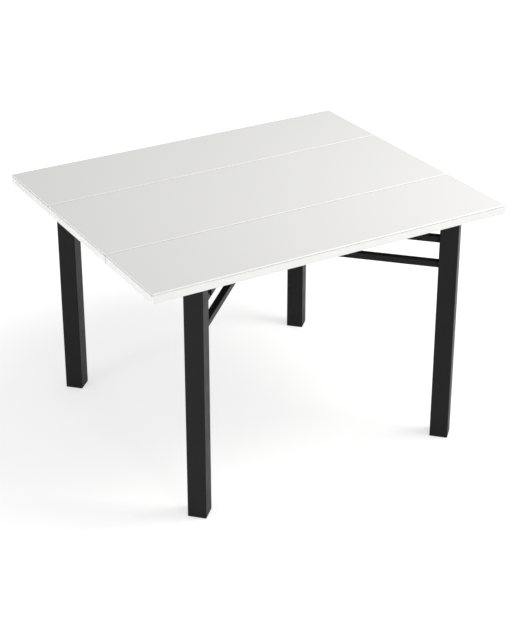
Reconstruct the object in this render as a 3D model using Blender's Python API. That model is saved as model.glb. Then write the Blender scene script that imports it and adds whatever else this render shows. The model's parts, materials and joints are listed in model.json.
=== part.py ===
"""An extending glass table: a white panel top in a fixed rear part and a front leaf that draws out on
two runners, glass panes on top, two insert boards stored underneath, on a cross of square steel tube.

Metres, +Z up. The origin is on the floor under the middle of the closed top. X runs along the seams,
and the front leaf draws out towards -Y.
"""

from math import atan2, cos, hypot, pi, radians, sin, sqrt

import bmesh
import bpy
from mathutils import Matrix, Vector

# Clearances
GAP = 0.0003
RUNNING = 0.0015
SEAM = 0.0015
HOLE_PLAY = 0.0003
STORE_TO_GUIDE = 0.0057
GUIDE_TO_LEG = 0.0151

# Top
HEIGHT = 0.750
TOP_LENGTH = 1.150
BACK_DEPTH = 0.280
MIDDLE_DEPTH = 0.390
LEAF_DEPTH = 0.280
GLASS = 0.005
GLASS_ARRIS = 0.001
GLASS_BEVEL = 0.0032
GLASS_BEVEL_DROP = 0.0014
PANEL = 0.022
EDGE_BAND = 0.002
BAND_CHAMFER = 0.0008
SEAM_ROUND = 0.0003
CORE_ROUND = 0.001
PANE_FACE_ROUND = 0.0008

# Legs and cross
LEG_SIDE = 0.055
LEG_WALL = 0.002
LEG_INNER_ROUND = 0.001
LEG_INSET = 0.055
RAIL_SIDE = 0.020
RAIL_WALL = 0.0015
RAIL_ROUND = 0.0015
RAIL_PITCH = 0.080
RAIL_DROP = 0.0587
CROSS_STEP = 0.014

# Feet, leg caps and leg plates
FOOT_FLANGE = 0.003
FOOT_PLUG = 0.022
FOOT_RIBS = 3
RIB_REACH = 0.0008
CAP_FLANGE = 0.004
CAP_PLUG = 0.014
PLATE_SIDE = 0.080
PLATE_ROUND = 0.008
PLATE_SCREW_INSET = 0.009

# Guides and runners
GUIDE_WIDTH = 0.032
GUIDE_HEIGHT = 0.030
GUIDE_WALL = 0.002
GUIDE_FLANGE = 0.012
GUIDE_SLOT = 0.016
GUIDE_FRONT = 0.065
GUIDE_BACK = 0.045
RUNNER_WALL = 0.003
RUNNER_FRONT = 0.055
RUNNER_OVERLAP = 0.375
LEAF_TRAVEL = 0.390
GLIDE_LENGTH = 0.120
GLIDE_WALL = 0.0009
GLIDE_INSET = 0.006
STOP_RADIUS = 0.004
STOP_HEAD = 0.006
STOP_HEAD_HEIGHT = 0.003
STOP_INSET = 0.020

# Saddles between the cross and the guides
SADDLE_STEEL = 0.003
SADDLE_LENGTH = 0.030
SADDLE_GRIP = 0.012

# Store for the insert boards
BOARD_LENGTH = 0.574
BOARD_PLAY = 0.0015
STORE_STEEL = 0.0018
STORE_SHELF = 0.014
STORE_FLANGE = 0.014
STORE_HEADROOM = 0.0006
STORE_FRONT = 0.005
STORE_TAB = 0.003
FINGER_RADIUS = 0.009
FINGER_LENGTH = 0.120

# Fasteners and dowels
SCREW_RADIUS = 0.002
SCREW_HEAD = 0.004
SCREW_HEAD_HEIGHT = 0.0025
SCREW_BITE = 0.014
BOLT_RADIUS = 0.004
HEX_ACROSS = 0.013
BOLT_HEAD_HEIGHT = 0.0053
NUT_HEIGHT = 0.0065
DOWEL_RADIUS = 0.004
DOWEL_REACH = 0.012
DOWEL_SET = 0.018
DOWEL_X = 0.200
ROUND_SIDES = 12

# Levels and places that follow from these
UNDERSIDE = HEIGHT - GLASS - GAP - PANEL
HALF_LENGTH = TOP_LENGTH / 2
CORNER_ROUND = CORE_ROUND + EDGE_BAND + GAP
LEG_ROUND = LEG_INNER_ROUND + LEG_WALL
DEPTH = BACK_DEPTH + MIDDLE_DEPTH + LEAF_DEPTH
FRONT_Y = -DEPTH / 2
BACK_Y = DEPTH / 2
LEAF_SEAM_Y = FRONT_Y + LEAF_DEPTH
BACK_SEAM_Y = BACK_Y - BACK_DEPTH
LEG_TOP = UNDERSIDE - 2 * GAP - CAP_FLANGE
OVER_TOP = UNDERSIDE - RAIL_DROP
UNDER_TOP = OVER_TOP - CROSS_STEP
GUIDE_TOP = UNDERSIDE - GAP
GUIDE_FLOOR = GUIDE_TOP - GUIDE_HEIGHT
RUNNER_HALF = GUIDE_WIDTH / 2 - GUIDE_WALL - RUNNING
RUNNER_BOTTOM = GUIDE_FLOOR + GUIDE_WALL + RUNNING
RUNNER_SHOULDER = GUIDE_TOP - GUIDE_WALL - RUNNING
NECK_HALF = GUIDE_SLOT / 2 - RUNNING
GUIDE_FRONT_Y = FRONT_Y + GUIDE_FRONT
GUIDE_BACK_Y = BACK_Y - GUIDE_BACK
RUNNER_FRONT_Y = FRONT_Y + RUNNER_FRONT
RUNNER_BACK_Y = LEAF_SEAM_Y + RUNNER_OVERLAP
STOP_Y = GUIDE_FRONT_Y + STOP_INSET
BOARD_THICKNESS = PANEL + GAP + GLASS
BOARD_DEPTH = MIDDLE_DEPTH - SEAM
BOARD_MIDDLE_Y = (LEAF_SEAM_Y + BACK_SEAM_Y) / 2
UPPER_BOARD_TOP = UNDERSIDE - STORE_HEADROOM - GAP
UPPER_SHELF_TOP = UPPER_BOARD_TOP - BOARD_THICKNESS - GAP
LOWER_BOARD_TOP = UPPER_SHELF_TOP - STORE_STEEL - STORE_HEADROOM
LOWER_SHELF_TOP = LOWER_BOARD_TOP - BOARD_THICKNESS - GAP
STORE_WEB_X = BOARD_LENGTH / 2 + BOARD_PLAY
STORE_EDGE_X = STORE_WEB_X + STORE_STEEL + STORE_FLANGE
STORE_BACK_Y = BOARD_MIDDLE_Y + BOARD_DEPTH / 2 + GAP
GUIDE_HALF = GUIDE_WIDTH / 2 + GUIDE_FLANGE
GUIDE_X = STORE_EDGE_X + STORE_TO_GUIDE + GUIDE_HALF
LEG_X = GUIDE_X + GUIDE_HALF + GUIDE_TO_LEG + LEG_SIDE / sqrt(2)
LEG_Y = BACK_Y - LEG_INSET
LEG_REACH = hypot(LEG_X, LEG_Y)
UNDER_ANGLE = atan2(LEG_Y, LEG_X)
OVER_ANGLE = pi - UNDER_ANGLE
SADDLE_Y = GUIDE_X * LEG_Y / LEG_X
ALONG_Y = Matrix(((1, 0, 0), (0, 0, -1), (0, 1, 0))).to_4x4()


def clear_scene():
    for thing in list(bpy.data.objects):
        bpy.data.objects.remove(thing, do_unlink=True)


def finish(name, colour, roughness, metallic=0.0):
    """A Principled material in one colour."""
    material = bpy.data.materials.new(name)
    material.use_nodes = True
    shader = material.node_tree.nodes["Principled BSDF"]
    shader.inputs["Base Color"].default_value = (*colour, 1.0)
    shader.inputs["Roughness"].default_value = roughness
    shader.inputs["Metallic"].default_value = metallic
    return material


def add_object(name, bm, material, place=None, smooth=False):
    """One object from a bmesh, with its normals pointing out."""
    bmesh.ops.recalc_face_normals(bm, faces=bm.faces)
    mesh = bpy.data.meshes.new(name)
    bm.to_mesh(mesh)
    bm.free()
    mesh.materials.append(material)
    if smooth:
        mesh.shade_smooth()
        mesh.set_sharp_from_angle(angle=radians(35))
    thing = bpy.data.objects.new(name, mesh)
    thing.matrix_world = place or Matrix.Identity(4)
    bpy.context.collection.objects.link(thing)
    return thing


def rectangle(half_x, half_y, corner=0.0, steps=3, seam=0, seam_corner=0.0):
    """A rectangle's outline about its middle, with its corners as arcs.

    The two corners on the -Y side, for a seam of -1, or on the +Y side, for 1, have their own radius.
    """
    if not corner:
        return [(-half_x, -half_y), (half_x, -half_y), (half_x, half_y), (-half_x, half_y)]
    points = []
    for quarter in range(4):
        side_x = 1 if quarter in (0, 3) else -1
        side_y = 1 if quarter in (0, 1) else -1
        radius = seam_corner if side_y == seam else corner
        for step in range(steps + 1):
            turn = (quarter + step / steps) * pi / 2
            x = side_x * (half_x - radius) + radius * cos(turn)
            y = side_y * (half_y - radius) + radius * sin(turn)
            points.append((x, y))
    return points


def polygon(radius, sides):
    """A regular outline about its middle."""
    return [(radius * cos(2 * pi * k / sides), radius * sin(2 * pi * k / sides)) for k in range(sides)]


def hexagon_outline():
    """A bolt head's hexagon, with as many points as a round outline has."""
    flat = HEX_ACROSS / 2
    points = []
    for k in range(ROUND_SIDES):
        turn = 2 * pi * k / ROUND_SIDES
        off_flat = turn % (pi / 3) - pi / 6
        radius = flat / cos(off_flat)
        points.append((radius * cos(turn), radius * sin(turn)))
    return points


def stack_loops(bm, loops):
    """A closed body through loops of equal count, each an outline and its level."""
    rings = [[bm.verts.new((x, y, level)) for x, y in outline] for outline, level in loops]
    count = len(rings[0])
    for low, high in zip(rings, rings[1:]):
        for k in range(count):
            bm.faces.new((low[k], low[(k + 1) % count], high[(k + 1) % count], high[k]))
    bm.faces.new(rings[0])
    bm.faces.new(rings[-1])


def hoop_loops(bm, loops):
    """A closed hoop through loops of equal count, each an outline and its level, back to the first."""
    rings = [[bm.verts.new((x, y, level)) for x, y in outline] for outline, level in loops]
    count = len(rings[0])
    for near, far in zip(rings, rings[1:] + rings[:1]):
        for k in range(count):
            bm.faces.new((near[k], near[(k + 1) % count], far[(k + 1) % count], far[k]))


def tube_loops(bm, outer, inner, low, high):
    """An open-ended tube between two outlines of equal count."""
    hoop_loops(bm, [(outer, low), (outer, high), (inner, high), (inner, low)])


def stacked(name, loops, material, place=None):
    bm = bmesh.new()
    stack_loops(bm, loops)
    return add_object(name, bm, material, place)


def block(name, low, high, material):
    """A box between two corners."""
    low, high = Vector(low), Vector(high)
    half = (high - low) / 2
    outline = rectangle(half.x, half.y)
    middle = Matrix.Translation((low + high) / 2)
    return stacked(name, [(outline, -half.z), (outline, half.z)], material, middle)


def turned(name, profile, spots, material, upright=True):
    """Stacks of circles of the profile's (radius, level) pairs, one body at each spot."""
    bm = bmesh.new()
    for spot in spots:
        start = len(bm.verts)
        stack_loops(bm, [(polygon(radius, ROUND_SIDES), level) for radius, level in profile])
        bm.verts.ensure_lookup_table()
        place = Matrix.Translation(spot) if upright else Matrix.Translation(spot) @ ALONG_Y
        bmesh.ops.transform(bm, matrix=place, verts=bm.verts[start:])
    return add_object(name, bm, material, smooth=True)


def combine(target, tool, operation):
    """A Boolean between a piece and a tool shape that isn't a piece itself."""
    tool.hide_render = True
    tool.display_type = "WIRE"
    change = target.modifiers.new(tool.name, "BOOLEAN")
    change.operation = operation
    change.solver = "EXACT"
    change.object = tool


def cut(target, tool):
    combine(target, tool, "DIFFERENCE")


def join(target, tool):
    combine(target, tool, "UNION")


def cut_holes(target, spots, radius, low, high, upright=True):
    """Round holes from level low to level high at every spot."""
    cutter = turned(target.name + "_holes", [(radius, low), (radius, high)], spots, STEEL, upright)
    cut(target, cutter)


def screw_profile(bite):
    """A pan-head screw that points up: level 0 is under its head."""
    dome = SCREW_HEAD * 0.75
    return [
        (dome, -SCREW_HEAD_HEIGHT),
        (SCREW_HEAD, -SCREW_HEAD_HEIGHT / 2),
        (SCREW_HEAD, 0.0),
        (SCREW_RADIUS, 0.0),
        (SCREW_RADIUS, bite),
    ]


def softened(half_x, half_y, low, high, seam=0):
    """Loops of a board's outer side, with its upper and lower edges trimmed and close corners at a seam."""
    trim = BAND_CHAMFER
    full = rectangle(half_x, half_y, CORNER_ROUND, seam=seam, seam_corner=SEAM_ROUND + trim)
    face = rectangle(half_x - trim, half_y - trim, CORNER_ROUND - trim, seam=seam, seam_corner=SEAM_ROUND)
    return [(face, low), (full, low + trim), (full, high - trim), (face, high)]


def panel_with_band(name, band_name, low_y, high_y, seam):
    """A board core and the plastic band round its four edges, with the seam on its -Y or +Y side."""
    middle = Matrix.Translation((0, (low_y + high_y) / 2, UNDERSIDE))
    half_y = (high_y - low_y) / 2
    inner = rectangle(HALF_LENGTH - EDGE_BAND, half_y - EDGE_BAND, CORE_ROUND + GAP)
    bm = bmesh.new()
    outer = softened(HALF_LENGTH, half_y, 0.0, PANEL, seam)
    hoop_loops(bm, [*outer, (inner, PANEL), (inner, 0.0)])
    band = add_object(band_name, bm, BAND, middle)
    core_outline = rectangle(HALF_LENGTH - EDGE_BAND - GAP, half_y - EDGE_BAND - GAP, CORE_ROUND)
    core = stacked(name, [(core_outline, 0.0), (core_outline, PANEL)], BOARD, middle)
    return core, band


def pane(name, low, high, level):
    """A glass pane with a bevel round its face and a small flat ground round its back."""
    half_x = (high[0] - low[0]) / 2
    half_y = (high[1] - low[1]) / 2
    corner = PANE_FACE_ROUND + GLASS_BEVEL
    back = rectangle(half_x - GLASS_ARRIS, half_y - GLASS_ARRIS, corner - GLASS_ARRIS)
    full = rectangle(half_x, half_y, corner)
    face = rectangle(half_x - GLASS_BEVEL, half_y - GLASS_BEVEL, PANE_FACE_ROUND)
    middle = Matrix.Translation(((low[0] + high[0]) / 2, (low[1] + high[1]) / 2, level))
    loops = [(back, 0.0), (full, GLASS_ARRIS), (full, GLASS - GLASS_BEVEL_DROP), (face, GLASS)]
    return stacked(name, loops, WHITE_GLASS, middle)


def make_top():
    """The rear part and the front leaf, with their panes and the leaf's dowels."""
    rear_front, leaf_back = LEAF_SEAM_Y + SEAM / 2, LEAF_SEAM_Y - SEAM / 2
    rear, rear_band = panel_with_band("rear_panel", "rear_edge_band", rear_front, BACK_Y, -1)
    leaf, leaf_band = panel_with_band("leaf_panel", "leaf_edge_band", FRONT_Y, leaf_back, 1)
    glass_level = UNDERSIDE + PANEL + GAP
    seams = (FRONT_Y - SEAM / 2, LEAF_SEAM_Y, BACK_SEAM_Y, BACK_Y + SEAM / 2)
    panes = []
    for name, near, far in zip(("leaf_glass", "middle_glass", "back_glass"), seams, seams[1:]):
        low = (-HALF_LENGTH, near + SEAM / 2)
        high = (HALF_LENGTH, far - SEAM / 2)
        panes.append(pane(name, low, high, glass_level))
    tip = DOWEL_RADIUS * 0.7
    dowel = [
        (tip, -DOWEL_REACH),
        (DOWEL_RADIUS, tip - DOWEL_REACH),
        (DOWEL_RADIUS, DOWEL_SET - tip),
        (tip, DOWEL_SET),
    ]
    spots, dowels = [], []
    for side, label in ((-1, "left"), (1, "right")):
        spot = (side * DOWEL_X, LEAF_SEAM_Y, UNDERSIDE + PANEL / 2)
        dowels.append(turned("leaf_dowel_" + label, dowel, [spot], BEECH, upright=False))
        spots.append(spot)
    hole = DOWEL_RADIUS + HOLE_PLAY
    for target in (rear, rear_band):
        cut_holes(target, spots, hole, -DOWEL_REACH - 2 * GAP, 0.0, upright=False)
    for target in (leaf, leaf_band):
        cut_holes(target, spots, hole, 0.0, DOWEL_SET + 2 * GAP, upright=False)
    return rear, [leaf, leaf_band, panes[0], *dowels]


def guide_outline():
    """A guide's section, one half mirrored: a channel with a slot along its top and a flange each side."""
    half = GUIDE_WIDTH / 2
    wall = GUIDE_WALL
    side = [
        (GUIDE_SLOT / 2, -wall),
        (GUIDE_SLOT / 2, 0.0),
        (GUIDE_HALF, 0.0),
        (GUIDE_HALF, -wall),
        (half, -wall),
        (half, -GUIDE_HEIGHT),
    ]
    inside = [(half - wall, wall - GUIDE_HEIGHT), (half - wall, -wall)]
    right = inside + side
    return right + [(-x, z) for x, z in reversed(right)]


def runner_outline():
    """A runner's section: a bar in the channel and a neck through its slot."""
    low = RUNNER_BOTTOM - GUIDE_TOP
    shoulder = RUNNER_SHOULDER - GUIDE_TOP
    return [
        (-RUNNER_HALF, low),
        (RUNNER_HALF, low),
        (RUNNER_HALF, shoulder),
        (NECK_HALF, shoulder),
        (NECK_HALF, 0.0),
        (-NECK_HALF, 0.0),
        (-NECK_HALF, shoulder),
        (-RUNNER_HALF, shoulder),
    ]


def along_y(name, outline, x, front_y, back_y, level, material):
    """An outline in X and Z, carried along Y."""
    place = Matrix.Translation((x, 0, level)) @ ALONG_Y
    return stacked(name, [(outline, -back_y), (outline, -front_y)], material, place)


def make_slides():
    """The two guides under the rear part and the two runners that carry the leaf."""
    stop_profile = [
        (STOP_HEAD, -STOP_HEAD_HEIGHT),
        (STOP_HEAD, 0.0),
        (STOP_RADIUS, 0.0),
        (STOP_RADIUS, GUIDE_WALL + RUNNING + RUNNER_WALL),
    ]
    carried = []
    for side, label in ((-1, "left"), (1, "right")):
        x = side * GUIDE_X
        ends = (GUIDE_FRONT_Y, GUIDE_BACK_Y)
        guide = along_y("guide_" + label, guide_outline(), x, *ends, GUIDE_TOP, ALUMINIUM)
        stop = (x, STOP_Y, GUIDE_FLOOR - GAP)
        turned("stop_pin_" + label, stop_profile, [stop], STEEL)
        cut_holes(guide, [stop], STOP_RADIUS + HOLE_PLAY, -GAP, GUIDE_WALL + 2 * GAP)
        carried += [make_runner("runner_" + label, x), make_glide("runner_glide_" + label, x)]
    return carried


def make_runner(name, x):
    """A hollow runner with a slot along its underside that the stop pin stands in."""
    runner = along_y(name, runner_outline(), x, RUNNER_FRONT_Y, RUNNER_BACK_Y, GUIDE_TOP, ALUMINIUM)
    core_half = RUNNER_HALF - RUNNER_WALL
    core_low = RUNNER_BOTTOM + RUNNER_WALL
    core = block(
        name + "_core",
        (x - core_half, RUNNER_FRONT_Y - RUNNER_WALL, core_low),
        (x + core_half, RUNNER_BACK_Y + RUNNER_WALL, RUNNER_SHOULDER - RUNNER_WALL),
        STEEL,
    )
    cut(runner, core)
    slot_half = STOP_RADIUS + RUNNING
    slot = block(
        name + "_slot",
        (x - slot_half, STOP_Y - slot_half, RUNNER_BOTTOM - RUNNING),
        (x + slot_half, STOP_Y + LEAF_TRAVEL + slot_half, core_low + RUNNER_WALL / 2),
        STEEL,
    )
    cut(runner, slot)
    return runner


def make_glide(name, x):
    """A plastic shoe that lines the channel under and beside a runner's back end."""
    reach = RUNNER_HALF + GAP
    wall = GLIDE_WALL
    low = RUNNER_BOTTOM - GAP
    high = RUNNER_SHOULDER - RUNNING
    outline = [
        (-reach - wall, low - wall),
        (reach + wall, low - wall),
        (reach + wall, high),
        (reach, high),
        (reach, low),
        (-reach, low),
        (-reach, high),
        (-reach - wall, high),
    ]
    back = RUNNER_BACK_Y - GLIDE_INSET
    return along_y(name, outline, x, back - GLIDE_LENGTH, back, 0, PLASTIC)


def diagonal(angle, level):
    """Local Z along a diagonal of the cross, local Y up."""
    run = Vector((cos(angle), sin(angle), 0))
    across = Vector((sin(angle), -cos(angle), 0))
    turn = Matrix((across, (0, 0, 1), run)).transposed().to_4x4()
    return Matrix.Translation((0, 0, level)) @ turn


def make_rail(name, angle, top, notched):
    """A square tube from leg to leg. The rail that passes under has a notch that holds the other square."""
    half = RAIL_SIDE / 2
    end = LEG_REACH - LEG_SIDE / 2 - GAP
    bm = bmesh.new()
    hollow = rectangle(half - RAIL_WALL, half - RAIL_WALL, RAIL_ROUND / 2, 2)
    tube_loops(bm, rectangle(half, half, RAIL_ROUND, 2), hollow, -end, end)
    rail = add_object(name, bm, POWDER_COAT, diagonal(angle, top - half))
    hole_top = top + GAP if notched else top - RAIL_SIDE / 2
    cut_holes(rail, [(0, 0, 0)], BOLT_RADIUS + HOLE_PLAY, top - RAIL_SIDE - GAP, hole_top)
    if notched:
        depth = RAIL_SIDE - CROSS_STEP + GAP
        passing = rectangle(2 * RAIL_SIDE, half + GAP)
        along_other = Matrix.Rotation(OVER_ANGLE, 4, "Z")
        levels = [(passing, top - depth), (passing, top + RAIL_SIDE)]
        notch = stacked(name + "_notch", levels, STEEL, along_other)
        cut(rail, notch)
    return rail


def make_cross():
    """Four legs on the diagonals, two rails on each diagonal and the bolts where they cross."""
    half = LEG_SIDE / 2
    hollow = half - LEG_WALL
    corners = ((1, 1, "back_right"), (-1, 1, "back_left"), (-1, -1, "front_left"), (1, -1, "front_right"))
    for side_x, side_y, label in corners:
        spot = Vector((side_x * LEG_X, side_y * LEG_Y, 0))
        place = Matrix.Translation(spot) @ Matrix.Rotation(atan2(spot.y, spot.x), 4, "Z")
        bm = bmesh.new()
        inner = rectangle(hollow, hollow, LEG_INNER_ROUND)
        tube_loops(bm, rectangle(half, half, LEG_ROUND), inner, FOOT_FLANGE + GAP, LEG_TOP)
        add_object("leg_" + label, bm, POWDER_COAT, place)
        make_foot("foot_" + label, place)
        if label.startswith("front"):
            make_leg_cap("leg_cap_" + label, place)
    for label, drop in (("upper", 0.0), ("lower", RAIL_PITCH)):
        make_rail("cross_rail_over_" + label, OVER_ANGLE, OVER_TOP - drop, False)
        make_rail("cross_rail_under_" + label, UNDER_ANGLE, UNDER_TOP - drop, True)
        make_crossing_bolt(label, drop)


def plug_outline(size):
    return rectangle(size, size, LEG_INNER_ROUND)


def make_foot(name, place):
    """A ribbed plastic plug with a flange that the leg stands on."""
    half = LEG_SIDE / 2
    hollow = half - LEG_WALL - GAP
    chamfer = FOOT_FLANGE / 3
    slim = plug_outline(hollow - RIB_REACH)
    rib = plug_outline(hollow)
    loops = [
        (rectangle(half - chamfer, half - chamfer, LEG_ROUND), 0.0),
        (rectangle(half, half, LEG_ROUND), chamfer),
        (rectangle(half, half, LEG_ROUND), FOOT_FLANGE),
    ]
    step = FOOT_PLUG / (2 * FOOT_RIBS)
    level = FOOT_FLANGE
    for _ in range(FOOT_RIBS):
        loops += [(slim, level), (slim, level + step), (rib, level + step), (rib, level + 2 * step)]
        level += 2 * step
    stacked(name, loops, PLASTIC, place)


def make_leg_cap(name, place):
    """A plastic plug whose flat head the leaf glides over."""
    half = LEG_SIDE / 2
    plug = plug_outline(half - LEG_WALL - GAP)
    level = LEG_TOP + GAP
    chamfer = CAP_FLANGE / 4
    loops = [
        (plug, level - CAP_PLUG),
        (plug, level),
        (rectangle(half, half, LEG_ROUND), level),
        (rectangle(half, half, LEG_ROUND), level + CAP_FLANGE - chamfer),
        (rectangle(half - chamfer, half - chamfer, LEG_ROUND), level + CAP_FLANGE),
    ]
    stacked(name, loops, PLASTIC, place)


def make_crossing_bolt(label, drop):
    """A hexagon bolt from below through a crossing, into a captive nut inside the tube above."""
    hexagon = hexagon_outline()
    shank = polygon(BOLT_RADIUS, ROUND_SIDES)
    bore = polygon(BOLT_RADIUS + HOLE_PLAY, ROUND_SIDES)
    seat = UNDER_TOP - drop - RAIL_SIDE - GAP
    nut_low = OVER_TOP - drop - RAIL_SIDE + RAIL_WALL + GAP
    nut_high = nut_low + NUT_HEIGHT
    head = [(hexagon, seat - BOLT_HEAD_HEIGHT), (hexagon, seat)]
    stacked("crossing_bolt_" + label, head + [(shank, seat), (shank, nut_high)], ZINC)
    bm = bmesh.new()
    tube_loops(bm, hexagon, bore, nut_low, nut_high)
    add_object("crossing_nut_" + label, bm, ZINC)


def make_leg_plates(rear):
    """Plates on the back legs, screwed up into the rear part."""
    half = PLATE_SIDE / 2
    inset = half - PLATE_SCREW_INSET
    outline = rectangle(half, half, PLATE_ROUND)
    bite = SCREW_BITE + CAP_FLANGE
    every = []
    for side, label in ((-1, "back_left"), (1, "back_right")):
        middle = Vector((side * LEG_X, LEG_Y, LEG_TOP + GAP))
        place = Matrix.Translation(middle)
        plate = stacked("leg_plate_" + label, [(outline, 0.0), (outline, CAP_FLANGE)], POWDER_COAT, place)
        corners = [Vector((a * inset, b * inset, -GAP)) for a in (-1, 1) for b in (-1, 1)]
        spots = [tuple(middle + corner) for corner in corners]
        for number, spot in enumerate(spots, 1):
            turned(f"leg_plate_screw_{label}_{number}", screw_profile(bite), [spot], ZINC)
        cut_holes(plate, spots, SCREW_RADIUS + HOLE_PLAY, -GAP, CAP_FLANGE + 2 * GAP)
        every += spots
    cut_holes(rear, every, SCREW_RADIUS + HOLE_PLAY, CAP_FLANGE, bite + 2 * GAP)


def make_saddles():
    """Bent steel saddles that carry the guides where they pass over the cross, each with its screw."""
    inner = RAIL_SIDE / 2 + GAP
    outer = inner + SADDLE_STEEL
    half = SADDLE_LENGTH / 2
    top = GUIDE_FLOOR - GAP
    bite = SADDLE_STEEL + 2 * GAP + GUIDE_WALL
    for side_x, across in ((-1, "left"), (1, "right")):
        spots = []
        for side_y, along in ((-1, "front"), (1, "back")):
            over = side_x != side_y
            low = (OVER_TOP if over else UNDER_TOP) - SADDLE_GRIP
            outline = [
                (-outer, low),
                (-inner, low),
                (-inner, top - SADDLE_STEEL),
                (inner, top - SADDLE_STEEL),
                (inner, low),
                (outer, low),
                (outer, top),
                (-outer, top),
            ]
            x, y = side_x * GUIDE_X, side_y * SADDLE_Y
            place = Matrix.Translation((x, y, 0)) @ diagonal(OVER_ANGLE if over else UNDER_ANGLE, 0)
            label = f"{along}_{across}"
            saddle = stacked("saddle_" + label, [(outline, -half), (outline, half)], POWDER_COAT, place)
            spot = (x, y, top - SADDLE_STEEL - GAP)
            turned("saddle_screw_" + label, screw_profile(bite), [spot], ZINC)
            cut_holes(saddle, [spot], SCREW_RADIUS + HOLE_PLAY, -GAP, SADDLE_STEEL + 2 * GAP)
            spots.append(spot)
        guide = bpy.data.objects["guide_" + across]
        cut_holes(guide, spots, SCREW_RADIUS + HOLE_PLAY, SADDLE_STEEL, bite + 2 * GAP)


def store_outline():
    """A store rail's section: a web, two shelves towards the boards and a screw flange away from them."""
    steel = STORE_STEEL
    web = STORE_WEB_X
    outer = web + steel
    edge = web - STORE_SHELF
    far = STORE_EDGE_X
    top = UNDERSIDE - GAP
    return [
        (web, top),
        (web, UPPER_SHELF_TOP),
        (edge, UPPER_SHELF_TOP),
        (edge, UPPER_SHELF_TOP - steel),
        (web, UPPER_SHELF_TOP - steel),
        (web, LOWER_SHELF_TOP),
        (edge, LOWER_SHELF_TOP),
        (edge, LOWER_SHELF_TOP - steel),
        (outer, LOWER_SHELF_TOP - steel),
        (outer, top - steel),
        (far, top - steel),
        (far, top),
    ]


def make_store():
    """Two steel rails with shelves and a stop at the back, and the two insert boards that slide in them."""
    front = BOARD_MIDDLE_Y - BOARD_DEPTH / 2 + STORE_FRONT
    inner, outer = STORE_WEB_X - STORE_SHELF, STORE_WEB_X + STORE_STEEL / 2
    for side, label in ((-1, "left"), (1, "right")):
        outline = [(side * x, z) for x, z in store_outline()]
        back = STORE_BACK_Y + STORE_TAB
        rail = along_y("store_rail_" + label, outline, 0, front, back, 0, POWDER_COAT)
        low_x, high_x = sorted((side * inner, side * outer))
        tab = block(
            rail.name + "_tab",
            (low_x, STORE_BACK_Y, LOWER_SHELF_TOP - STORE_STEEL / 2),
            (high_x, back, UNDERSIDE - 2 * GAP),
            STEEL,
        )
        join(rail, tab)
    return [make_board("upper_board", UPPER_BOARD_TOP), make_board("lower_board", LOWER_BOARD_TOP)]


def make_board(name, top):
    """Half of the insert: a board with a finger groove under its front edge, and its pane."""
    half_x, half_y = BOARD_LENGTH / 2, BOARD_DEPTH / 2
    low = top - BOARD_THICKNESS
    place = Matrix.Translation((0, BOARD_MIDDLE_Y, 0))
    board = stacked(name, softened(half_x, half_y, low, low + PANEL), BAND, place)
    bm = bmesh.new()
    round_end = polygon(FINGER_RADIUS, ROUND_SIDES)
    stack_loops(bm, [(round_end, -FINGER_LENGTH / 2), (round_end, FINGER_LENGTH / 2)])
    grip = Matrix.Translation((0, BOARD_MIDDLE_Y - half_y + 2 * FINGER_RADIUS, low))
    cut(board, add_object(name + "_groove", bm, STEEL, grip @ Matrix.Rotation(pi / 2, 4, "Y")))
    corners = (-half_x, BOARD_MIDDLE_Y - half_y), (half_x, BOARD_MIDDLE_Y + half_y)
    return [board, pane(name + "_glass", *corners, low + PANEL + GAP)]


def carry(name, spot, pieces):
    """An empty that a moving group hangs from."""
    empty = bpy.data.objects.new(name, None)
    empty.location = spot
    bpy.context.collection.objects.link(empty)
    for piece in pieces:
        piece.parent = empty
        piece.matrix_parent_inverse = Matrix.Translation(spot).inverted()


clear_scene()
WHITE_GLASS = finish("white_glass", (0.80, 0.80, 0.79), 0.08)
BOARD = finish("white_board", (0.82, 0.82, 0.81), 0.45)
BAND = finish("white_edge_band", (0.86, 0.86, 0.85), 0.35)
POWDER_COAT = finish("black_powder_coat", (0.020, 0.020, 0.021), 0.45)
PLASTIC = finish("black_plastic", (0.015, 0.015, 0.015), 0.5)
ALUMINIUM = finish("drawn_aluminium", (0.60, 0.61, 0.62), 0.35, 1.0)
ZINC = finish("zinc_plated_steel", (0.55, 0.55, 0.54), 0.4, 1.0)
STEEL = finish("bright_steel", (0.50, 0.50, 0.50), 0.35, 1.0)
BEECH = finish("beech", (0.62, 0.42, 0.25), 0.6)

rear_part, leaf_pieces = make_top()
leaf_pieces += make_slides()
make_cross()
make_leg_plates(rear_part)
make_saddles()
upper_board, lower_board = make_store()
carry("leaf_slide", (0, LEAF_SEAM_Y, UNDERSIDE), leaf_pieces)
carry("upper_board_slide", (0, BOARD_MIDDLE_Y, UPPER_BOARD_TOP), upper_board)
carry("lower_board_slide", (0, BOARD_MIDDLE_Y, LOWER_BOARD_TOP), lower_board)
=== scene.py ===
"""Dresses the extending glass table and sets it in a white studio.

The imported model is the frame: its nodes keep their shape and place and get their finishes here. The new
pieces are the screws with a cross recess, the small screws of the guides and store rails, and the weld
beads of the base. Metres, +Z up, with the leaf drawing out towards -Y.
"""

import json
from math import cos, pi, radians, sin

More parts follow.
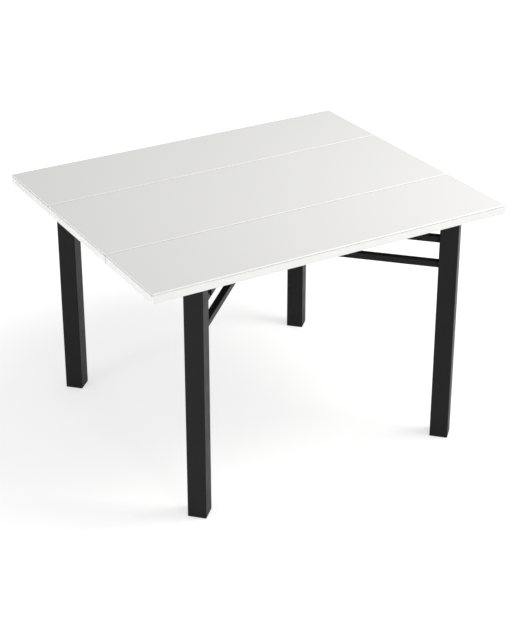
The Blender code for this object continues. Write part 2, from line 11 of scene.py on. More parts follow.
import bpy
import numpy as np
from bpy.props import FloatProperty, FloatVectorProperty, IntProperty, PointerProperty
from mathutils import Euler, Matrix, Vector


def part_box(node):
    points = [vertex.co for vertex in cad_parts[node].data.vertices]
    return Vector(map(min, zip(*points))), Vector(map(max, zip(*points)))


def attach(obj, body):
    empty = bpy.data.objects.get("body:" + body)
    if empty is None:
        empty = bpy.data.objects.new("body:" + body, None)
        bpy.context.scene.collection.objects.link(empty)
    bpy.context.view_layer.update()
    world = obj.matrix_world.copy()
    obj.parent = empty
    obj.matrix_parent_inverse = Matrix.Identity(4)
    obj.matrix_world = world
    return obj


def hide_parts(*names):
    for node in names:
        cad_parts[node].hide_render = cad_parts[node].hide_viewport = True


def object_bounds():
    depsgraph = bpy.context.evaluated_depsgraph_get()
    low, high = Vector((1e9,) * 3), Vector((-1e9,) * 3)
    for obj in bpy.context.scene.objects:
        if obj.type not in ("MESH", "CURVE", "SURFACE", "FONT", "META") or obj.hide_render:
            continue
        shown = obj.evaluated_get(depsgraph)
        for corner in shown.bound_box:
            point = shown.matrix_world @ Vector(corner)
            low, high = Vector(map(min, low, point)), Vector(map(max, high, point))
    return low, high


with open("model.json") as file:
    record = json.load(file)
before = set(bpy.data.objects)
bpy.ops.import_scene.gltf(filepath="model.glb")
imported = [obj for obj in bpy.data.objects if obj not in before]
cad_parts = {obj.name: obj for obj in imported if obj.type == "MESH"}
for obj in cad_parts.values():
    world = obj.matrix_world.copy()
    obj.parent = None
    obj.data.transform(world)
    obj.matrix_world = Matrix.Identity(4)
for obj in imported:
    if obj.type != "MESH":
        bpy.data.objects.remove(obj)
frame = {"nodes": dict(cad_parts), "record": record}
CAD_BOX = [list(corner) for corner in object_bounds()]

bl_info = {
    "name": "Extending glass table",
    "version": (1, 0, 0),
    "blender": (4, 5, 0),
    "location": "View3D > Sidebar > Glass table",
    "description": "Finishes, screws, weld beads and a white studio for an extending glass table",
    "category": "Object",
}

SIDES = {"left": -1, "right": 1}
ENDS = ("front", "back")
CROSS_LEGS = {"over": ("back_left", "front_right"), "under": ("back_right", "front_left")}
RAIL_LEVELS = ("upper", "lower")
UP = np.array((0.0, 0.0, 1.0))

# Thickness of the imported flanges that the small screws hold
GUIDE_FLANGE = 0.002
STORE_FLANGE = 0.0018

# How far each screw's recess is turned from the one before, in radians
BASE_TURN = 0.7
RAIL_TURN = 0.9

# Depth of the top's rim, and width of the painted shade line just inside it
RIM = 0.005
RIM_SHADE_LINE = 0.0025

# How finely the new surfaces are divided
SCREW_SIDES = 48
RIPPLE_STEPS = 8
SQUARE_STEPS = 720
RING_SIDES = 12
RUN_SIDES = 10
FLOOR_RINGS = 12
FLOOR_SIDES = 96
SHARP_ANGLE = radians(50)


class TableFinishes(bpy.types.PropertyGroup):
    """Colours of the table's materials, in linear light."""

    glass: FloatVectorProperty(
        name="Painted glass",
        description="Paint on the back of the panes, seen through the glass",
        subtype="COLOR",
        default=(0.80, 0.80, 0.795),
    )
    glass_edge: FloatVectorProperty(
        name="Glass edge",
        description="Sides of the panes, where the glass itself shows",
        subtype="COLOR",
        default=(0.68, 0.69, 0.685),
    )
    board: FloatVectorProperty(
        name="Faced board",
        description="White facing of the panels",
        subtype="COLOR",
        default=(0.80, 0.80, 0.79),
    )
    band: FloatVectorProperty(
        name="Edge band",
        description="Plastic band round the panels' edges, and facing of the insert boards",
        subtype="COLOR",
        default=(0.85, 0.85, 0.845),
    )
    steel: FloatVectorProperty(
        name="Powder coat",
        description="Black coat on the legs, rails, saddles, plates and store rails",
        subtype="COLOR",
        default=(0.011, 0.011, 0.0118),
    )
    plastic: FloatVectorProperty(
        name="Moulded plastic",
        description="Feet, leg caps and runner glides",
        subtype="COLOR",
        default=(0.012, 0.012, 0.012),
    )
    aluminium: FloatVectorProperty(
        name="Drawn aluminium",
        description="Guides and runners",
        subtype="COLOR",
        default=(0.62, 0.63, 0.64),
    )
    zinc: FloatVectorProperty(
        name="Zinc plate",
        description="Screws, bolts and nuts",
        subtype="COLOR",
        default=(0.56, 0.57, 0.57),
    )
    bright_steel: FloatVectorProperty(
        name="Bright steel",
        description="Stop pins",
        subtype="COLOR",
        default=(0.50, 0.50, 0.49),
    )
    beech: FloatVectorProperty(
        name="Beech",
        description="Dowels in the leaf's edge",
        subtype="COLOR",
        default=(0.52, 0.33, 0.18),
    )


class ScrewSizes(bpy.types.PropertyGroup):
    """Sizes of the pan-head screws and where the small ones stand."""

    head: FloatProperty(
        name="Head radius",
        description="Radius of a screw's head",
        unit="LENGTH",
        default=0.004,
    )
    height: FloatProperty(
        name="Head height",
        description="Height of a screw's head",
        unit="LENGTH",
        default=0.0025,
    )
    shank: FloatProperty(
        name="Shank radius",
        description="Radius of a screw past its head",
        unit="LENGTH",
        default=0.002,
    )
    slot: FloatProperty(
        name="Recess width",
        description="Width of each arm of the cross recess",
        unit="LENGTH",
        default=0.0011,
    )
    reach: FloatProperty(
        name="Recess reach",
        description="Length of each arm from the head's middle",
        unit="LENGTH",
        default=0.0024,
    )
    depth: FloatProperty(
        name="Recess depth",
        description="Depth of the recess in the head's middle",
        unit="LENGTH",
        default=0.0014,
    )
    wall: FloatProperty(
        name="Recess wall",
        description="Width over which the head falls to the recess's floor",
        unit="LENGTH",
        default=0.0003,
    )
    fall: FloatProperty(
        name="Recess fall",
        description="Share of its depth that the recess loses towards the ends of its arms",
        subtype="FACTOR",
        default=0.45,
        min=0.0,
        max=1.0,
    )
    grip: FloatProperty(
        name="Grip",
        description="How far a small screw reaches up past the underside of its flange",
        unit="LENGTH",
        default=0.0012,
    )
    inset: FloatProperty(
        name="Edge distance",
        description="Distance of a small screw from the outer edge of its flange",
        unit="LENGTH",
        default=0.006,
    )
    margin: FloatProperty(
        name="End margin",
        description="Distance of the outer small screws from the end of what they hold",
        unit="LENGTH",
        default=0.028,
    )
    guide_count: IntProperty(
        name="Screws along a guide",
        description="Screws in each flange of a guide, all under the rear panel",
        default=4,
        min=2,
    )
    store_count: IntProperty(
        name="Screws along a store rail",
        description="Screws in the flange of a store rail",
        default=3,
        min=2,
    )


class WeldSizes(bpy.types.PropertyGroup):
    """Sizes and places of the weld beads."""

    bead: FloatProperty(
        name="Bead radius",
        description="Half thickness of the beads round rail ends and leg tops",
        unit="LENGTH",
        default=0.0013,
    )
    small_bead: FloatProperty(
        name="Small bead radius",
        description="Half thickness of the beads along the saddles",
        unit="LENGTH",
        default=0.0012,
    )
    pitch: FloatProperty(
        name="Ripple pitch",
        description="Distance from one ripple of a bead to the next",
        unit="LENGTH",
        default=0.0016,
    )
    ripple: FloatProperty(
        name="Ripple height",
        description="Height of a ripple as a share of the bead's radius",
        subtype="FACTOR",
        default=0.14,
        min=0.0,
        max=1.0,
    )
    off_face: FloatProperty(
        name="Off the face",
        description="How far a bead's middle lies off the leg or plate, as a share of its radius",
        subtype="FACTOR",
        default=0.35,
        min=0.0,
        max=1.0,
    )
    off_tube: FloatProperty(
        name="Off the tube",
        description="How far a bead's middle lies off the tube that it goes round, as a share of its radius",
        subtype="FACTOR",
        default=0.2,
        min=0.0,
        max=1.0,
    )
    above_edge: FloatProperty(
        name="Above the edge",
        description="How far a bead's middle lies above a saddle's lower edge, as a share of its radius",
        subtype="FACTOR",
        default=0.1,
        min=0.0,
        max=1.0,
    )
    cheek_inset: FloatProperty(
        name="Inside the cheek",
        description="How far a bead's middle lies inside the outer face of a saddle's cheek",
        unit="LENGTH",
        default=0.0022,
    )


class StudioSizes(bpy.types.PropertyGroup):
    """The camera, the lamps and the floor."""

    spot: FloatVectorProperty(
        name="Camera place",
        description="Where the camera stands",
        subtype="TRANSLATION",
        default=(-2.102, -3.610, 2.494),
    )
    azimuth: FloatProperty(
        name="Azimuth",
        description="Turn of the view from +Y towards +X",
        subtype="ANGLE",
        default=radians(30.42),
    )
    pitch: FloatProperty(
        name="Pitch",
        description="How far the view looks down",
        subtype="ANGLE",
        default=radians(23.97),
    )
    sensor: FloatProperty(
        name="Sensor",
        description="Long side of the camera's sensor, in millimetres",
        unit="CAMERA",
        default=36.0,
    )
    lens: FloatProperty(
        name="Lens",
        description="Focal length, in millimetres",
        unit="CAMERA",
        default=85.56,
    )
    shift: FloatProperty(
        name="Rise of the view",
        description="Camera shift as a share of the picture's long side",
        default=-0.15,
    )
    key: FloatProperty(
        name="Key lamp",
        description="Power of the soft lamp above the right end",
        unit="POWER",
        default=56.0,
    )
    key_spot: FloatVectorProperty(
        name="Key lamp place",
        description="Where the key lamp hangs",
        subtype="TRANSLATION",
        default=(1.7, -1.2, 2.9),
    )
    key_side: FloatProperty(
        name="Key lamp side",
        description="Side of the square key lamp",
        unit="LENGTH",
        default=1.4,
    )
    key_colour: FloatVectorProperty(
        name="Key lamp colour",
        description="Colour of the key lamp's light",
        subtype="COLOR",
        default=(1.0, 0.985, 0.965),
    )
    front: FloatProperty(
        name="Front lamp",
        description="Power of the soft lamp before the front edge, below the top's level",
        unit="POWER",
        default=37.0,
    )
    front_spot: FloatVectorProperty(
        name="Front lamp place",
        description="Where the front lamp stands",
        subtype="TRANSLATION",
        default=(-0.4, -3.6, 0.38),
    )
    left: FloatProperty(
        name="Left lamp",
        description="Power of the soft lamp beside the left edge, below the top's level",
        unit="POWER",
        default=50.0,
    )
    left_spot: FloatVectorProperty(
        name="Left lamp place",
        description="Where the left lamp stands",
        subtype="TRANSLATION",
        default=(-3.6, -0.4, 0.38),
    )
    low_side: FloatProperty(
        name="Low lamp side",
        description="Side of the front and left lamps, which light the edges and show in no reflection",
        unit="LENGTH",
        default=0.7,
    )
    surround: FloatProperty(
        name="Surround",
        description="Level of the white surround as diffuse light",
        subtype="FACTOR",
        default=0.50,
        min=0.0,
        max=1.0,
    )
    floor: FloatVectorProperty(
        name="Floor",
        description="Colour of the floor",
        subtype="COLOR",
        default=(0.60, 0.60, 0.60),
    )
    floor_hub: FloatProperty(
        name="Floor hub",
        description="Radius of the floor's innermost ring",
        unit="LENGTH",
        default=0.2,
    )
    floor_radius: FloatProperty(
        name="Floor radius",
        description="Radius of the round floor",
        unit="LENGTH",
        default=9.0,
    )
    floor_drop: FloatProperty(
        name="Floor drop",
        description="Gap between the feet and the floor",
        unit="LENGTH",
        default=0.0003,
    )
    floor_glow: FloatProperty(
        name="Floor glow",
        description="White that the floor adds under the table, for the camera and for reflections",
        subtype="FACTOR",
        default=0.58,
        min=0.0,
        max=1.0,
    )
    shadow_floor: FloatProperty(
        name="Shadow floor",
        description="Distance from the table's middle up to which the floor glows no more than under it",
        unit="LENGTH",
        default=0.8,
    )
    clear_floor: FloatProperty(
        name="Clear floor",
        description="Distance from the table's middle at which the floor glows pure white",
        unit="LENGTH",
        default=2.6,
    )


def sizes():
    """The property groups of the scene."""
    return bpy.context.scene.glass_table


def centre(node):
    """The middle of a node's box."""
    low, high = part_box(node)
    return (np.array(low) + np.array(high)) / 2


def span(node, direction):
    """The least and the greatest distance of a node's points along a direction."""
    mesh = frame["nodes"][node].data
    points = np.empty(len(mesh.vertices) * 3)
    mesh.vertices.foreach_get("co", points)
    along = points.reshape(-1, 3) @ direction
    return along.min(), along.max()


def away_from_axis(point):
    """The level unit direction from the table's upright axis to a point."""
    level = np.array((point[0], point[1], 0.0))
    return level / np.linalg.norm(level)


def grid_faces(rows, columns, looped):
    """The quads of a grid whose columns close round, and the fans of triangles that close its ends.

    A looped grid closes from its last row to its first, and has no fans. The middle points of the fans are
    numbered after the grid's own points, with the first row's before the last row's.
    """
    row = np.arange(rows if looped else rows - 1)[:, None]
    column = np.arange(columns)[None, :]
    beside = (column + 1) % columns
    above = (row + 1) % rows
    quads = np.stack(np.broadcast_arrays(
        row * columns + column,
        row * columns + beside,
        above * columns + beside,
        above * columns + column,
    ), axis=-1).reshape(-1, 4)
    if looped:
        return quads, np.empty((0, 3), int)
    around = np.arange(columns)
    after = (around + 1) % columns
    first_middle = np.full(columns, rows * columns)
    last_row = (rows - 1) * columns
    fans = np.concatenate((
        np.stack((first_middle, after, around), axis=-1),
        np.stack((first_middle + 1, last_row + around, last_row + after), axis=-1),
    ))
    return quads, fans


def add_surface(name, grids, body, finish, looped=False):
    """A piece from equal grids of points, each shaped rows by columns, whose columns close round.

    A looped grid also closes from its last row to its first. Any other grid gets a point in the middle of
    its first and last rows. Faces are turned outwards by the sign of the volume that they enclose.
    """
    grids = np.asarray(grids, float)
    copies, rows, columns, _ = grids.shape
    quads, fans = grid_faces(rows, columns, looped)
    points = grids.reshape(copies, -1, 3)
    if not looped:
        middles = np.stack((grids[:, 0].mean(axis=1), grids[:, -1].mean(axis=1)), axis=1)
        points = np.concatenate((points, middles), axis=1)
    triangles = np.concatenate((quads[:, :3], quads[:, [0, 2, 3]], fans))
    a, b, c = (points[0][triangles[:, k]] for k in range(3))
    if np.einsum("ij,ij->", a, np.cross(b, c)) < 0:
        quads, fans = quads[:, ::-1], fans[:, ::-1]
    step = np.arange(copies)[:, None, None] * points.shape[1]
    faces = (quads + step).reshape(-1, 4).tolist() + (fans + step).reshape(-1, 3).tolist()
    mesh = bpy.data.meshes.new(name)
    mesh.from_pydata(points.reshape(-1, 3), [], faces)
    mesh.shade_smooth()
    mesh.set_sharp_from_angle(angle=SHARP_ANGLE)
    mesh.materials.append(finish)
    piece = bpy.data.objects.new(name, mesh)
    bpy.context.scene.collection.objects.link(piece)
    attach(piece, body)
    return piece


def screw_surface(length, turn):
    """A pan-head screw that points up, with level 0 at the seat of its head, as a grid of rings.

    The head is z = -h (1 - (r/R)^4)^(1/4). A cross is sunk in it where the smaller of |x| and |y| is
    under half a slot and the larger one under the slot's reach, both with soft walls, and the sunk
    depth falls off towards the ends of the arms. Past the head the rings run in to the shank and up it.
    """
    screw = sizes().screws
    crown = np.linspace(0.04, 0.72, 13)
    shoulder = np.sin(np.linspace(0.88, pi / 2, 7))
    rings = np.concatenate((crown, shoulder))
    radius = np.concatenate((rings * screw.head, (screw.shank, screw.shank, screw.shank / 2)))
    head = -screw.height * (1 - rings ** 4) ** 0.25
    level = np.concatenate((head, (0.0, length - screw.shank, length)))
    angle = np.linspace(0, 2 * pi, SCREW_SIDES, endpoint=False)
    x = radius[:, None] * np.cos(angle)
    y = radius[:, None] * np.sin(angle)
    near = np.minimum(np.abs(x), np.abs(y))
    far = np.maximum(np.abs(x), np.abs(y))
    in_width = np.clip((screw.slot / 2 - near) / screw.wall + 0.5, 0, 1)
    in_reach = np.clip((screw.reach - far) / screw.wall + 0.5, 0, 1)
    sunk = screw.depth * in_width * in_reach * (1 - screw.fall * far / screw.reach)
    sunk[len(rings):] = 0
    z = level[:, None] + sunk
    turned_x = x * cos(turn) - y * sin(turn)
    turned_y = x * sin(turn) + y * cos(turn)
    return np.stack((turned_x, turned_y, z), axis=-1)


def screw_stations(start, end, count):
    """Places of the small screws along a flange, evenly spread between its end margins."""
    margin = sizes().screws.margin
    return np.linspace(start + margin, end - margin, count)


def ripples(run, around, bead):
    """A bead's radius: b (1 + k cos(2 pi s / p + cos v)), ripples of pitch p that bow across the bead."""
    welds = sizes().welds
    return bead * (1 + welds.ripple * np.cos(2 * pi * run / welds.pitch + np.cos(around)))


def weld_ring(middle, across, up, half):
    """A bead round a square tube of a half side, as a closed tube along a rounded square.

    The square is r = h / (cos^n t + sin^n t)^(1/n) with n = 14, walked in equal steps of its length. The
    section is a circle of the rippled radius in the plane of the square's outward and axial directions.
    """
    welds = sizes().welds
    power = 14
    turn = np.linspace(0, 2 * pi, SQUARE_STEPS + 1)
    square = (np.abs(np.cos(turn)) ** power + np.abs(np.sin(turn)) ** power) ** (1 / power)
    reach = (half + welds.bead * welds.off_tube) / square
    path = reach[:, None] * (np.cos(turn)[:, None] * across + np.sin(turn)[:, None] * up)
    length = np.concatenate(([0], np.cumsum(np.linalg.norm(np.diff(path, axis=0), axis=1))))
    steps = RIPPLE_STEPS * int(length[-1] / welds.pitch)
    run = np.linspace(0, length[-1], steps, endpoint=False)
    line = np.stack([np.interp(run, length, path[:, k]) for k in range(3)], axis=-1)
    tangent = np.roll(line, -1, axis=0) - np.roll(line, 1, axis=0)
    tangent /= np.linalg.norm(tangent, axis=1, keepdims=True)
    axial = np.cross(across, up)
    outward = np.cross(tangent, axial)
    around = np.linspace(0, 2 * pi, RING_SIDES, endpoint=False)
    radius = ripples(run[:, None], around, welds.bead)[..., None]
    section = np.cos(around)[:, None] * outward[:, None] + np.sin(around)[:, None] * axial
    return middle + line[:, None] + radius * section


def weld_run(start, end, outward):
    """A straight bead between two points: circles of the rippled radius, drawn in at both ends.

    The radius falls to the ends as (1 - |2 s / L - 1|^6)^(1/2), from just inside one to just inside the
    other.
    """
    welds = sizes().welds
    length = np.linalg.norm(end - start)
    axis = (end - start) / length
    tip = 0.004
    share = np.linspace(tip, 1 - tip, RIPPLE_STEPS * int(length / welds.pitch))
    around = np.linspace(0, 2 * pi, RUN_SIDES, endpoint=False)
    drawn_in = np.sqrt(1 - np.abs(2 * share - 1) ** 6)[:, None]
    radius = (drawn_in * ripples(share[:, None] * length, around, welds.small_bead))[..., None]
    side = np.cross(axis, outward)
    section = np.cos(around)[:, None] * outward + np.sin(around)[:, None] * side
    line = start + share[:, None] * (end - start)
    return line[:, None] + radius * section


def start_finish(name):
    """A new material with its node tree, its Principled shader and its Object coordinates."""
    material = bpy.data.materials.new(name)
    material.use_nodes = True
    tree = material.node_tree
    shader = tree.nodes["Principled BSDF"]
    place = tree.nodes.new("ShaderNodeTexCoord").outputs["Object"]
    return material, tree, shader, place


def add_node(tree, kind, inputs=None, **settings):
    """A node whose settings are set and whose inputs are linked or given their values."""
    node = tree.nodes.new("ShaderNode" + kind)
    for name, value in settings.items():
        setattr(node, name, value)
    for name, value in (inputs or {}).items():
        if isinstance(value, bpy.types.NodeSocket):
            tree.links.new(value, node.inputs[name])
        else:
            node.inputs[name].default_value = value
    return node


def connect(tree, shader, sockets):
    """Links each of the outputs to the shader's socket of that name."""
    for name, output in sockets.items():
        tree.links.new(output, shader.inputs[name])


def noise(tree, place, scale, detail):
    """A noise's value."""
    inputs = {"Vector": place, "Scale": scale, "Detail": detail, "Roughness": 0.55}
    return add_node(tree, "TexNoise", inputs).outputs["Fac"]


def drawn_noise(tree, place, scales, detail):
    """A noise's value with a scale for each axis: its grains are long where the scale is small."""
    drawn = add_node(tree, "Mapping", {"Vector": place, "Scale": scales}).outputs["Vector"]
    return noise(tree, drawn, scale=1.0, detail=detail)


def spread(tree, value, low, high, start=0.3, end=0.7):
    """A value from start to end, spread from low to high. Most of a noise lies from 0.3 to 0.7."""
    inputs = {"Value": value, "From Min": start, "From Max": end, "To Min": low, "To Max": high}
    return add_node(tree, "MapRange", inputs).outputs["Result"]


def joined(tree, operation, first, second):
    """Two values put together by a difference, a product or the like."""
    return add_node(tree, "Math", {0: first, 1: second}, operation=operation).outputs["Value"]


def mixed_value(tree, factor, first, second):
    """A value between two values, which are sockets 2 and 3 of a Mix node."""
    return add_node(tree, "Mix", {0: factor, 2: first, 3: second}).outputs[0]


def mixed_colour(tree, factor, first, second):
    """A colour between two colours, which are sockets 6 and 7 of a Mix node."""
    return add_node(tree, "Mix", {0: factor, 6: first, 7: second}, data_type="RGBA").outputs[2]


def shaded(colour, share=1.0):
    """A colour made lighter or darker by a share, with its alpha."""
    return (*(min(1.0, channel * share) for channel in colour), 1.0)


def varied(tree, factor, colour, darkest, lightest):
    """A colour that varies from its darkest to its lightest share."""
    return mixed_colour(tree, factor, shaded(colour, darkest), shaded(colour, lightest))


def relief(tree, height, strength, distance, rounding=0.0):
    """A bump, over edges that the light sees as rounded."""
    inputs = {"Height": height, "Strength": strength, "Distance": distance}
    if rounding:
        inputs["Normal"] = add_node(tree, "Bevel", {"Radius": rounding}).outputs["Normal"]
    return add_node(tree, "Bump", inputs).outputs["Normal"]


def open_share(tree, distance):
    """How open the surface lies to its surroundings within a distance: 1 on a flat face, 0 deep in a gap."""
    inputs = {"Distance": distance}
    return add_node(tree, "AmbientOcclusion", inputs, samples=8).outputs["AO"]


def part_along(tree, vector, axis):
    """The length of a vector's part along an axis, without its sign."""
    part = add_node(tree, "SeparateXYZ", {"Vector": vector}).outputs[axis]
    return add_node(tree, "Math", {0: part}, operation="ABSOLUTE").outputs["Value"]


def near_end(tree, place, axis, depth=RIM):
    """1 near the top's two ends along an axis, and 0 from a depth inwards, with a fifth of it between."""
    top_end = CAD_BOX[1]["XYZ".index(axis)]
    reach = part_along(tree, place, axis)
    return spread(tree, reach, low=0.0, high=1.0, start=top_end - depth, end=top_end - depth * 4 / 5)


def painted_glass():
    """White paint behind glass: gloss faces, ground arrises and sides where the glass shows.

    A painted shade line runs inside the rim at the two ends. Painted shade darkens the rim's own edges down
    in a gap.
    """
    material, tree, shader, place = start_finish("painted_glass")
    colours = sizes().finishes
    normal = add_node(tree, "NewGeometry").outputs["True Normal"]
    flat = part_along(tree, normal, "Z")
    is_side = spread(tree, flat, low=1.0, high=0.0, start=0.1, end=0.4)
    is_face = spread(tree, flat, low=0.0, high=1.0, start=0.94, end=0.99)
    cloud = noise(tree, place, scale=3.0, detail=2.0)
    clean = varied(tree, cloud, colours.glass, darkest=0.99, lightest=1.01)
    ends = near_end(tree, place, "X")
    # painted shade: a darker line just inside the bevel at the top's two ends
    line = joined(tree, "SUBTRACT", near_end(tree, place, "X", depth=RIM + RIM_SHADE_LINE), ends)
    paint = mixed_colour(tree, line, clean, shaded(colours.glass, share=0.93))
    ground = mixed_colour(tree, is_side, shaded(colours.glass, share=1.16), shaded(colours.glass_edge))
    # painted shade: the rim's edges darken where the surroundings close in on them
    in_shade = spread(tree, open_share(tree, distance=0.003), low=1.0, high=0.0, start=0.15, end=0.6)
    is_rim = joined(tree, "MAXIMUM", ends, near_end(tree, place, "Y"))
    painted_shade = joined(tree, "MULTIPLY", in_shade, is_rim)
    edge = mixed_colour(tree, painted_shade, ground, shaded(colours.glass, share=0.45))
    wiped = spread(tree, noise(tree, place, scale=14.0, detail=5.0), low=0.05, high=0.11)
    frosted = spread(tree, noise(tree, place, scale=900.0, detail=3.0), low=0.25, high=0.40)
    waves = noise(tree, place, scale=9.0, detail=2.0)
    connect(tree, shader, {
        "Base Color": mixed_colour(tree, is_face, edge, paint),
        "Roughness": mixed_value(tree, is_face, frosted, wiped),
        "Normal": relief(tree, waves, strength=0.02, distance=0.002),
    })
    shader.inputs["IOR"].default_value = 1.52
    return material


def faced_board(name, colour):
    """White melamine facing: a fine pearl stipple and faint unevenness."""
    material, tree, shader, place = start_finish(name)
    pearl = noise(tree, place, scale=620.0, detail=2.0)
    cloud = noise(tree, place, scale=7.0, detail=4.0)
    connect(tree, shader, {
        "Base Color": varied(tree, cloud, colour, darkest=0.975, lightest=1.02),
        "Roughness": spread(tree, pearl, low=0.38, high=0.52),
        "Normal": relief(tree, pearl, strength=0.12, distance=0.0004, rounding=0.0005),
    })
    return material


def edge_plastic():
    """The edge band: satin white plastic with faint lines along the edge, and painted shade in the end
    seams.
    """
    material, tree, shader, place = start_finish("edge_plastic")
    colour = sizes().finishes.band
    lines = drawn_noise(tree, place, scales=(6.0, 6.0, 900.0), detail=3.0)
    peel = noise(tree, place, scale=480.0, detail=2.0)
    clean = varied(tree, lines, colour, darkest=0.985, lightest=1.01)
    # painted shade: the band darkens down in the end seams, where the surroundings close in
    in_shade = spread(tree, open_share(tree, distance=0.008), low=1.0, high=0.0, start=0.35, end=0.85)
    painted_shade = joined(tree, "MULTIPLY", in_shade, near_end(tree, place, "X"))
    connect(tree, shader, {
        "Base Color": mixed_colour(tree, painted_shade, clean, shaded(colour, share=0.22)),
        "Roughness": spread(tree, lines, low=0.50, high=0.62),
        "Normal": relief(tree, peel, strength=0.08, distance=0.0003, rounding=0.0008),
    })
    return material


def powder_coat():
    """Black powder coat: grain, a dull sheen, and painted shade without sheen where little light gets in."""
    material, tree, shader, place = start_finish("powder_coat_black")
    colour = sizes().finishes.steel
    grain = noise(tree, place, scale=1500.0, detail=2.0)
    cloud = noise(tree, place, scale=20.0, detail=5.0)
    coat = varied(tree, cloud, colour, darkest=0.8, lightest=1.25)
    sheen = spread(tree, cloud, low=0.40, high=0.50)
    # painted shade: the coat darkens and loses its sheen where little light gets in
    is_open = spread(tree, open_share(tree, distance=0.35), low=0.0, high=1.0, start=0.1, end=0.6)
    connect(tree, shader, {
        "Base Color": mixed_colour(tree, is_open, shaded(colour, share=0.1), coat),
        "Roughness": mixed_value(tree, is_open, 1.0, sheen),
        "Normal": relief(tree, grain, strength=0.16, distance=0.0003, rounding=0.0012),
    })
    shader.inputs["Specular IOR Level"].default_value = 0.12
    return material


def moulded_plastic():
    """Black moulded plastic with a fine spark-eroded grain."""
    material, tree, shader, place = start_finish("moulded_plastic_black")
    grain = noise(tree, place, scale=1100.0, detail=3.0)
    connect(tree, shader, {
        "Base Color": varied(tree, grain, sizes().finishes.plastic, darkest=0.85, lightest=1.3),
        "Roughness": spread(tree, grain, low=0.48, high=0.62),
        "Normal": relief(tree, grain, strength=0.2, distance=0.0003, rounding=0.0005),
    })
    shader.inputs["Specular IOR Level"].default_value = 0.35
    return material


def drawn_aluminium():
    """Aluminium section with the fine lines of drawing along its length."""
    material, tree, shader, place = start_finish("drawn_aluminium")
    lines = drawn_noise(tree, place, scales=(1800.0, 5.0, 1800.0), detail=3.0)
    cloud = drawn_noise(tree, place, scales=(60.0, 6.0, 60.0), detail=4.0)
    connect(tree, shader, {
        "Base Color": varied(tree, cloud, sizes().finishes.aluminium, darkest=0.9, lightest=1.08),
        "Roughness": spread(tree, lines, low=0.28, high=0.44),
        "Normal": relief(tree, lines, strength=0.15, distance=0.0002, rounding=0.0004),
    })
    shader.inputs["Metallic"].default_value = 1.0
    return material


def zinc_plate():
    """Zinc plate with its faint spangle and warmer patches."""
    material, tree, shader, place = start_finish("zinc_plate")
    colour = sizes().finishes.zinc
    spangle = add_node(tree, "TexVoronoi", {"Vector": place, "Scale": 900.0}).outputs["Distance"]
    cloud = noise(tree, place, scale=260.0, detail=4.0)
    warm = (colour[0] * 1.08, colour[1] * 1.03, colour[2] * 0.94)
    connect(tree, shader, {
        "Base Color": mixed_colour(tree, cloud, shaded(colour, share=0.88), shaded(warm)),
        "Roughness": spread(tree, spangle, low=0.26, high=0.42, start=0.0, end=0.8),
        "Normal": relief(tree, cloud, strength=0.08, distance=0.0002, rounding=0.0003),
    })
    shader.inputs["Metallic"].default_value = 1.0
    return material


def turned_steel():
    """Bright steel with fine turning lines round an upright axis."""
    material, tree, shader, place = start_finish("turned_steel")
    lines = drawn_noise(tree, place, scales=(40.0, 40.0, 5000.0), detail=2.0)
    connect(tree, shader, {
        "Base Color": varied(tree, lines, sizes().finishes.bright_steel, darkest=0.9, lightest=1.1),
        "Roughness": spread(tree, lines, low=0.22, high=0.36),
        "Normal": relief(tree, lines, strength=0.1, distance=0.0001),
    })
    shader.inputs["Metallic"].default_value = 1.0
    return material


def beech_wood():
    """Beech with its grain along the dowel and short darker flecks."""
    material, tree, shader, place = start_finish("beech_wood")
    colour = sizes().finishes.beech
    grain = drawn_noise(tree, place, scales=(420.0, 22.0, 420.0), detail=4.0)
    flecks = drawn_noise(tree, place, scales=(1500.0, 260.0, 1500.0), detail=1.0)
    wood = varied(tree, spread(tree, grain, low=0.0, high=1.0), colour, darkest=0.78, lightest=1.15)
    is_fleck = spread(tree, flecks, low=0.0, high=0.5, start=0.62, end=0.72)
    connect(tree, shader, {
        "Base Color": mixed_colour(tree, is_fleck, wood, shaded(colour, share=0.5)),
        "Roughness": spread(tree, grain, low=0.52, high=0.68),
        "Normal": relief(tree, grain, strength=0.2, distance=0.0002),
    })
    return material


def shared_finish(slot, maker):
    """The finish of a slot, made once and kept under the slot's name on the scene."""
    made = bpy.context.scene.get("finish_" + slot)
    if made is None:
        made = maker()
        bpy.context.scene["finish_" + slot] = made
    return made


def dress(slot, maker):
    """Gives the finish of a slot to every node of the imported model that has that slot."""
    finish = shared_finish(slot, maker)
    named = [part["node"] for part in frame["record"]["subparts"] if part["material_slot"] == slot]
    if not named:
        raise RuntimeError(f"no node has the slot {slot}")
    for name in named:
        materials = frame["nodes"][name].data.materials
        materials.clear()
        materials.append(finish)
    return finish


class GLASSTABLE_OT_panes(bpy.types.Operator):
    """Finish the glass panes of the top and of the insert boards"""

    bl_idname = "glass_table.panes"
    bl_label = "Glass panes"

    def execute(self, context):
        dress("white_glass", painted_glass)
        return {"FINISHED"}


class GLASSTABLE_OT_boards(bpy.types.Operator):
    """Finish the panels, their edge bands and the insert boards"""

    bl_idname = "glass_table.boards"
    bl_label = "Panels and boards"

    def execute(self, context):
        colours = sizes().finishes
        dress("white_board", lambda: faced_board("faced_board", colours.board))
        dress("insert_board", lambda: faced_board("faced_insert_board", colours.band))
        dress("edge_band", edge_plastic)
        return {"FINISHED"}


class GLASSTABLE_OT_steel_base(bpy.types.Operator):
    """Finish the legs, cross rails, saddles, plates and store rails"""

    bl_idname = "glass_table.steel_base"
    bl_label = "Steel base"

    def execute(self, context):
        dress("powder_coat", powder_coat)
        return {"FINISHED"}


class GLASSTABLE_OT_plastics(bpy.types.Operator):
    """Finish the feet, the leg caps and the runner glides"""

    bl_idname = "glass_table.plastics"
    bl_label = "Feet, caps and glides"

    def execute(self, context):
        dress("black_plastic", moulded_plastic)
        return {"FINISHED"}


